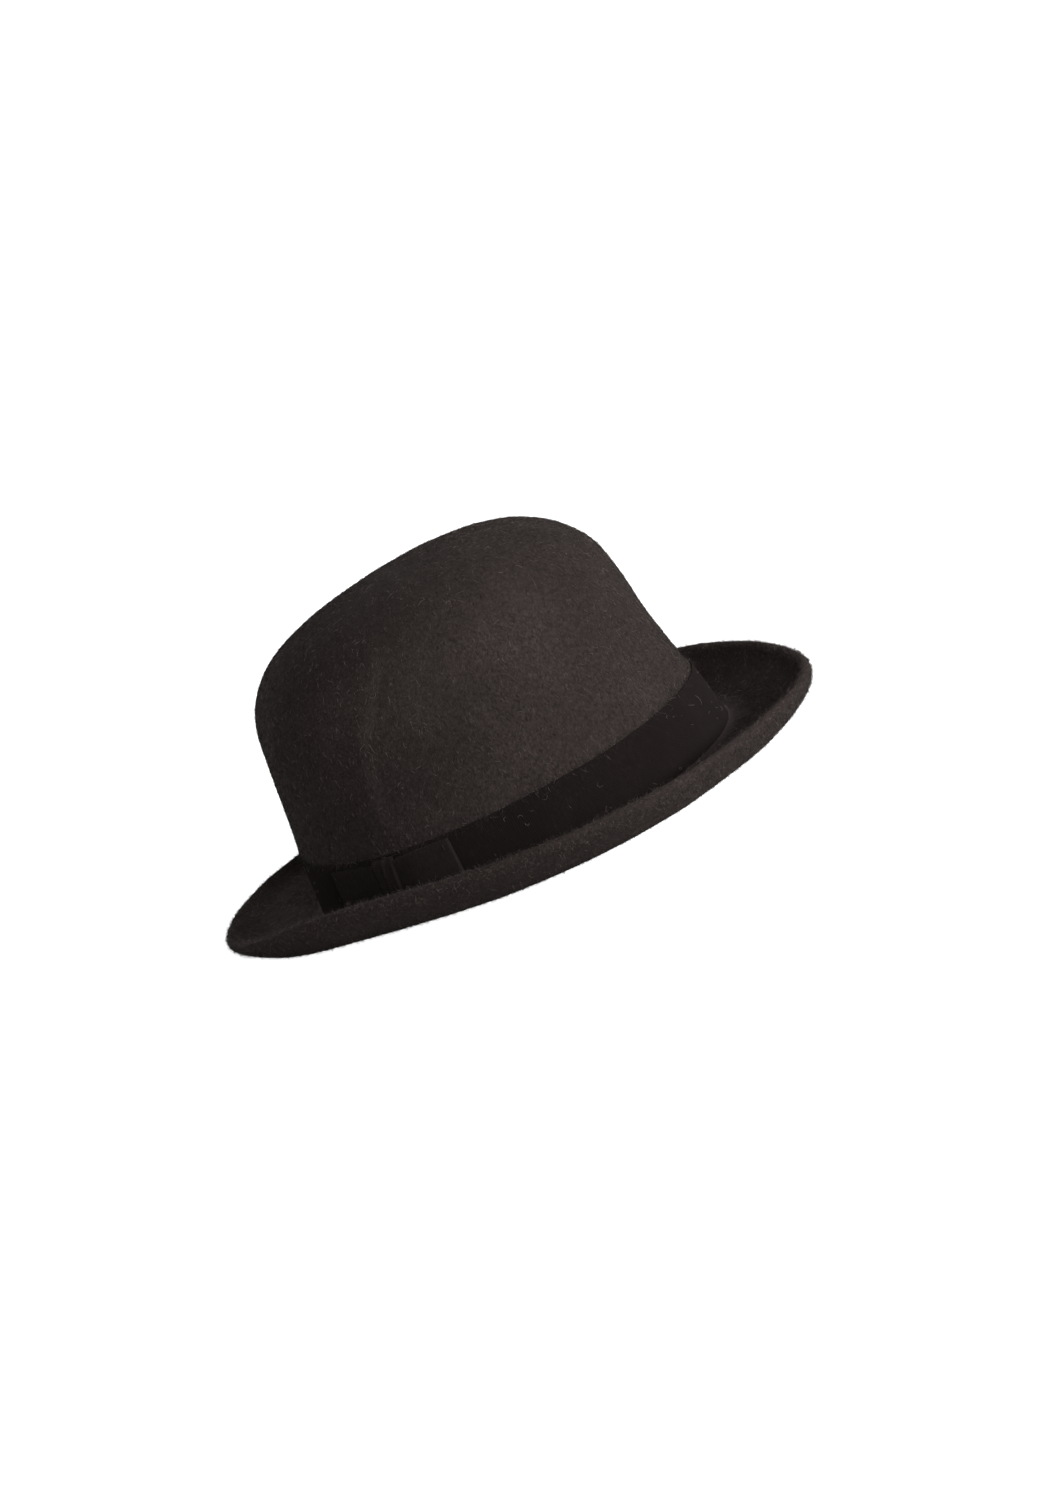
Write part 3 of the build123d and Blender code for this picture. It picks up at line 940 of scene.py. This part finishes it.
def grosgrain(name, rib, colour, lint):
    """Dull ribbed ribbon: ribs run across its width, with a fine weave and a little lint."""
    sheen = {"Sheen_Weight": 0.029, "Sheen_Roughness": 0.8, "Sheen_Tint": BROWN_SHEEN}
    n = shader(name, colour, 0.95, Specular_IOR_Level=0.0, **sheen)
    cloth = n.place(kind="UV")
    ribs = n.wave(cloth, "X", rib, 0.12)
    weave = n.wave(cloth, "Y", 0.34)
    specks = n.noise(n.place((1, 1, 0.35)), 0.9, 4, 0.8)
    soft = n.noise(n.place(), 24, 3)
    mix = n.blend((specks, 0.7), (soft, 0.3))
    dark = tuple(value * 0.6 for value in colour)
    shade = n.ramp(mix, (0.42, dark), (0.58, colour), (0.74, lint))
    n.look(Base_Color=shade, Normal=n.bump(weave, 0.03, 0.5, n.bump(ribs, 0.16, 0.9)))
    return n.owner


def thread_material(name, colour):
    n = shader(name, colour, 0.8, Specular_IOR_Level=0.1)
    n.look(Normal=n.bump(n.noise(n.place(), 0.2, 2), 0.05))
    return n.owner


def leather_material():
    """Brown sheepskin sweatband, darker where a head has rubbed it."""
    n = shader("sweatband_hide", (0.12, 0.055, 0.026), 0.5, Specular_IOR_Level=0.4)
    here = n.place()
    stains = n.noise(n.place((1, 1, 1.6)), 26, 4, 0.6)
    pores = n.noise(here, 0.9, 4, 0.7)
    mix = n.blend((stains, 0.72), (pores, 0.28))
    stops = (0.36, (0.055, 0.024, 0.012)), (0.52, (0.125, 0.058, 0.027)), (0.68, (0.2, 0.1, 0.05))
    rough = n.math("ADD", n.math("MULTIPLY", stains, 0.3), 0.34)
    cells = n.node("ShaderNodeTexVoronoi", Vector=here, Scale=1 / 0.7).outputs["Distance"]
    creases = n.noise(n.place((0.4, 0.4, 1.8)), 4, 4, 0.6)
    grain = n.bump(creases, 0.35, 0.6, n.bump(cells, 0.12, 0.6))
    n.look(Base_Color=n.ramp(mix, *stops), Roughness=rough, Normal=grain)
    return n.owner


def satin_material():
    """Aged ivory satin with a fine twill and stains."""
    finish = {"Sheen_Weight": 0.25, "Anisotropic": 0.4}
    n = shader("lining_satin", (0.5, 0.44, 0.33), 0.36, **finish)
    stains = n.noise(n.place(), 40, 5, 0.6)
    stops = (0.36, (0.36, 0.29, 0.19)), (0.5, (0.5, 0.43, 0.32)), (0.64, (0.58, 0.52, 0.41))
    twill = n.wave(n.place(turn=(0.5, 0.3, 0.4)), "X", 0.35)
    rough = n.math("ADD", n.math("MULTIPLY", stains, 0.25), 0.26)
    creases = n.bump(n.noise(n.place(), 5, 3), 0.3, 0.5, n.bump(twill, 0.03, 0.4))
    n.look(Base_Color=n.ramp(stains, *stops), Roughness=rough, Normal=creases)
    return n.owner


def woven_material(name, colour, pitch):
    """Plain woven tape."""
    n = shader(name, colour, 0.85)
    cloth = n.place(kind="UV")
    weave = n.math("MULTIPLY", n.wave(cloth, "X", pitch), n.wave(cloth, "Y", pitch))
    shade = n.noise(n.place(), 8, 3)
    dark = tuple(value * 0.7 for value in colour)
    n.look(Base_Color=n.ramp(shade, (0.35, dark), (0.65, colour)), Normal=n.bump(weave, 0.08, 0.8))
    return n.owner


def reed_material():
    n = shader("reed_cane", (0.3, 0.22, 0.12), 0.55)
    grain = n.noise(n.place((0.3, 0.3, 2)), 1.5, 4)
    stops = (0.35, (0.2, 0.14, 0.07)), (0.65, (0.36, 0.27, 0.16))
    n.look(Base_Color=n.ramp(grain, *stops), Normal=n.bump(grain, 0.1, 0.5))
    return n.owner


def film_material():
    """Clear, slightly yellowed film."""
    return shader("clear_film", (0.95, 0.9, 0.78), 0.12, Transmission_Weight=1.0, IOR=1.3).owner


def floor_material():
    """Pale floor that looks white to the camera, yet throws back only the light that falls on it."""
    plain = {"Specular_IOR_Level": 0.1, "Emission_Color": (1, 1, 1, 1)}
    n = shader("pale_floor", (0.7, 0.7, 0.7), 0.9, **plain)
    seen = n.node("ShaderNodeLightPath").outputs["Is Camera Ray"]
    n.look(Emission_Strength=n.math("MULTIPLY", seen, FLOOR_GLOW))
    return n.owner


# ---------------------------------------- the hat's pieces

felt = felt_material()
fibres = nap_materials()
ribbon = grosgrain("hatband_grosgrain", RIB, *BAND_COLOURS)
# The bow's grosgrain carries painted light: lighter colours than the band's, standing in for light on its
# shaded side
bow_ribbon = grosgrain("bow_grosgrain_painted_light", RIB, *BOW_COLOURS_PAINTED_LIGHT)

body_rows = uneven(felt_rows())
dress(skin("felt_hat_body", body_rows), felt, "felt", "felt_body")
band = dress(hatband(), ribbon, "ribbon", "hatband")
loop = dress(bow_loop(), bow_ribbon, "bow_ribbon", "bow_loop")
knot = dress(bow_knot(), bow_ribbon, "bow_ribbon", "bow_knot")
band_stitches, bow_stitches = tacks()
outer_thread = thread_material("black_thread", (0.012, 0.01, 0.01))
inner_thread = thread_material("tan_thread", (0.2, 0.12, 0.06))
dress(band_stitches, outer_thread, "thread", "band_tacks")
dress(bow_stitches, outer_thread, "thread", "bow_tacks")

leather = leather_material()
small_ribbon = grosgrain("small_bow_ribbon", 0.6, (0.03, 0.018, 0.014), (0.06, 0.04, 0.03))
dress(sweatband(), leather, "leather", "sweatband")
dress(reed(), reed_material(), "reed", "sweatband_reed")
dress(reed_tape(), woven_material("reed_tape_weave", (0.07, 0.05, 0.04), 0.5), "tape", "reed_tape")
row_stitches, back_stitches = sweatband_stitches()
dress(row_stitches, inner_thread, "inner_thread", "sweatband_stitches")
dress(back_stitches, inner_thread, "inner_thread", "sweatband_back_seam")
small_bow, small_knot = sweatband_bow()
dress(small_bow, small_ribbon, "bow_ribbon", "sweatband_bow")
dress(small_knot, small_ribbon, "bow_ribbon")
label = dress(size_label(), woven_material("label_weave", (0.55, 0.5, 0.4), 0.4), "label", "size_label")
satin = satin_material()
gathered = dress(lining_wall(), satin, "satin", "lining_wall")
tip = dress(lining_tip(), satin, "satin", "lining_tip")
dress(seam_cord(), satin, "cord", "lining_seam_cord")
dress(tip_protector(), film_material(), "film", "tip_protector")


# Fibres: the shares of the dark, brown and pale shades, then length and thickness
SHORT_NAP = ((0.62, 0.36, 0.02), 1.7, 0.05)
LONG_HAIRS = ((0.0, 0.4, 0.6), 2.8, 0.045)
FUZZ = ((0.4, 0.5, 0.1), 1.3, 0.035)
RIBBON_FUZZ = ((0.5, 0.42, 0.08), 2.3, 0.045)
# The brim's edge fuzz is paler and denser than the nap: partly real fuzz catching light, partly a painted
# highlight on the rim
EDGE_FUZZ_PAINTED_LIGHT = ((0.12, 0.74, 0.14), 1.8, 0.042)
FIBRES_IN_PIECE = 19000
HAIRS_BY_PIECE = 420
FUZZ_BY_PIECE = 1800
SKIPPED_ROWS = 3
EDGE_FUZZ_ROWS = 9


def cover(name, rows, weights, pieces, seed, yaw=0.5, lift=0.2):
    """The nap on one stretch of felt, in several pieces, with a few longer pale hairs and fuzz."""
    for part in range(pieces):
        grown = scatter(rows, FIBRES_IN_PIECE, weights, seed + part)
        nap(f"{name}_{part + 1}", grown, *SHORT_NAP, yaw, lift, seed + 50 + part)
    grown = scatter(rows, HAIRS_BY_PIECE * pieces, weights, seed + 90)
    nap(f"{name}_hairs", grown, *LONG_HAIRS, yaw, 1.5 * lift, seed + 91)
    grown = scatter(rows, FUZZ_BY_PIECE * pieces, weights, seed + 92)
    nap(f"{name}_fuzz", grown, *FUZZ, 1.2, 1.4, seed + 93)


def crown_cover():
    """Fibres on the crown above the ribbon, fuzz that stands over its edge, and loose curled hairs."""
    crown = body_rows[1:CROWN_ROWS]
    band_top = BAND_LIFT + BAND_HEIGHT
    rise = crown[..., 2] - BREAK
    cover("crown_nap", crown, (rise > band_top - 0.6) * 1.0, 5, 100)
    by_ribbon = scatter(crown, 4200, (np.abs(rise - band_top - 1.1) < 1.1) * 1.0, 501)
    nap("band_edge_fuzz", by_ribbon, *RIBBON_FUZZ, 0.7, 0.7, 502)
    above = scatter(crown, 260, (rise > band_top) * 1.0, 521)
    curls("crown_curls", above, 3.0, 0.15, 522)
    on_ribbon = scatter(crown, 90, (np.abs(rise - band_top / 2) < band_top / 2 - 1.5) * 1.0, 531)
    curls("ribbon_curls", on_ribbon, 2.6, GAP + RIBBON + 0.12, 532)


def brim_cover():
    """Fibres on both faces of the brim where it clears the floor, curled hairs, and fuzz at its edge that
    is paler than the nap: partly real fuzz, partly a painted highlight on the rim.
    """
    brim = body_rows[CROWN_ROWS + SKIPPED_ROWS:CROWN_ROWS + 2 * BRIM_ROWS + EDGE_ROWS - SKIPPED_ROWS]
    cover("brim_nap", brim, (brim[..., 2] > 1.2) * 1.0, 4, 300, yaw=0.9, lift=0.3)
    top = brim[:BRIM_ROWS - 8]
    curls("brim_curls", scatter(top, 420, np.ones(top.shape[:2]), 541), 3.2, 0.15, 542)
    to_edge = np.abs(np.arange(len(brim)) - (BRIM_ROWS - SKIPPED_ROWS + EDGE_ROWS / 2))
    painted_highlight_rows = np.broadcast_to((to_edge < EDGE_FUZZ_ROWS)[:, None] * 1.0, brim.shape[:2])
    # Paler fuzz along the brim's edge: partly real fuzz, partly a painted highlight on the rim
    grown = scatter(brim, 15000, painted_highlight_rows, 511)
    nap("brim_edge_fuzz_painted_highlight", grown, *EDGE_FUZZ_PAINTED_LIGHT, 1.2, 1.0, 512)


crown_cover()
brim_cover()


# ---------------------------------------- floor, lights and camera

AZIMUTH = 132.2
ELEVATION = 11.6
ROLL = 28.7
DISTANCE = 1859.0
LENS = 104.2
AIM_RIGHT = 0.012963
AIM_DOWN = 0.009579
FLOOR_GLOW = 1.0
FLOOR_HALF = 60000.0
LIGHT_DISTANCE = 1.6
# Lights: degrees to the right of the camera and above level, then size in metres and energy in watts
LIGHTS = {
    "key": (47, 10, 0.2, 34),
    "front": (10, 13, 0.5, 14.5),
    "far_left": (-150, 12, 0.8, 14),
    "far_right": (140, 9, 0.8, 4.8),
}
SURROUNDINGS = 0.3
SEEN_SURROUNDINGS = 1.1
CROWN_CENTRE = Vector((0, CENTRE, BREAK + 52))


def direction(turn, height):
    """The unit vector at degrees round the hat from its front, and degrees above level."""
    turn, height = math.radians(turn), math.radians(height)
    level = math.cos(height)
    return Vector((math.sin(turn) * level, -math.cos(turn) * level, math.sin(height)))


def camera_axes():
    """Right, up and back directions of the camera, rolled to the tilt at which the hat is seen."""
    roll = math.radians(ROLL)
    back = direction(AZIMUTH, ELEVATION)
    level = direction(AZIMUTH + 90, 0)
    upright = back.cross(level)
    right = math.cos(roll) * level - math.sin(roll) * upright
    up = math.sin(roll) * level + math.cos(roll) * upright
    return right, up, back


def make_camera():
    right, up, back = camera_axes()
    data = bpy.data.cameras.new("camera")
    data.sensor_fit = "VERTICAL"
    data.sensor_height = 36
    data.lens = LENS
    data.clip_end = 20
    camera = add("camera", data)
    forward = (-back + right * AIM_RIGHT - up * AIM_DOWN).normalized()
    side = (right - forward * right.dot(forward)).normalized()
    above = side.cross(forward)
    turned = Matrix((side, above, -forward)).transposed().to_4x4()
    camera.matrix_world = Matrix.Translation((CROWN_CENTRE + back * DISTANCE) / 1000) @ turned
    bpy.context.scene.camera = camera


def soft_light(name, turn, height, size, energy):
    """A square light aimed at the crown."""
    towards = direction(AZIMUTH + turn, height)
    data = bpy.data.lights.new(name, "AREA")
    data.size = size
    data.energy = energy
    aim = towards.to_track_quat("Z", "Y").to_matrix().to_4x4()
    place = Matrix.Translation(CROWN_CENTRE / 1000 + towards * LIGHT_DISTANCE)
    add(name, data).matrix_world = place @ aim


def make_floor():
    corners = np.array([[-1, -1, 0], [1, -1, 0], [1, 1, 0], [-1, 1, 0]]) * FLOOR_HALF
    floor = new_mesh("floor", corners, np.arange(4), np.array([4]), smooth=False)
    floor.data.materials.append(floor_material())


def make_world():
    """Even studio surroundings, with a brighter white where the camera sees them."""
    world = bpy.data.worlds.new("studio")
    bpy.context.scene.world = world
    n = Nodes(world)
    seen = n.node("ShaderNodeLightPath").outputs["Is Camera Ray"]
    extra = n.math("MULTIPLY", seen, SEEN_SURROUNDINGS - SURROUNDINGS)
    strength = n.math("ADD", extra, SURROUNDINGS)
    n.fill(n.tree.nodes["Background"], {"Color": (1, 1, 1, 1), "Strength": strength})


make_camera()
make_floor()
make_world()
for light, setting in LIGHTS.items():
    soft_light(light, *setting)
bpy.context.scene.view_settings.view_transform = "Standard"
